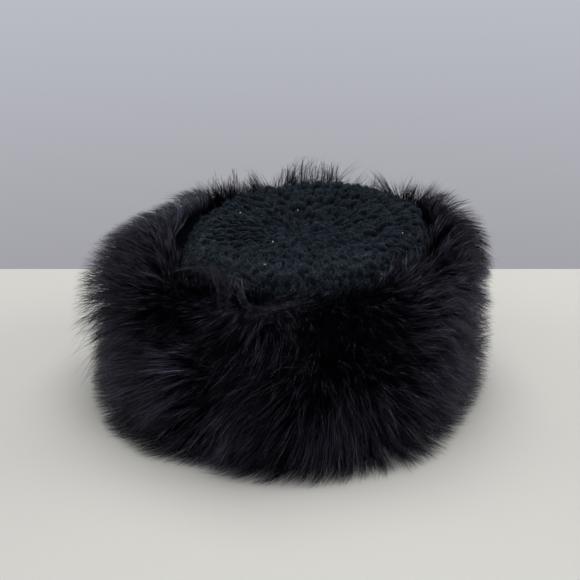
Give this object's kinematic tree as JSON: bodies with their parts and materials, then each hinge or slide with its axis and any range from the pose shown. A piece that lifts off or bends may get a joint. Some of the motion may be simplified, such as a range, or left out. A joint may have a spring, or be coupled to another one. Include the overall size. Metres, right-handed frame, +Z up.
{
  "type": "fur hat with a crocheted crown",
  "caption": "Round fur hat: a crocheted wool cap with a dished crown, ringed by two strips of long fur, open below for the head.",
  "frame": {"origin": "on the surface that the hat stands on, under the middle of its outline, fur included", "axes": "+Z up through the crown, -Y to the front of the hat as the picture shows it, +X to its right"},
  "size_m": [0.2788, 0.2822, 0.124],
  "materials": {
    "yarn": "chunky wool yarn, dark petrol blue, single crochet in rounds of about 9 mm",
    "fur": "long black fur, dense underfur with glossy guard hairs"
  },
  "bodies": {
    "root": {"crochet_cap": "yarn", "upper_fur_strip": "fur", "lower_fur_strip": "fur"}
  },
  "joints": []
}
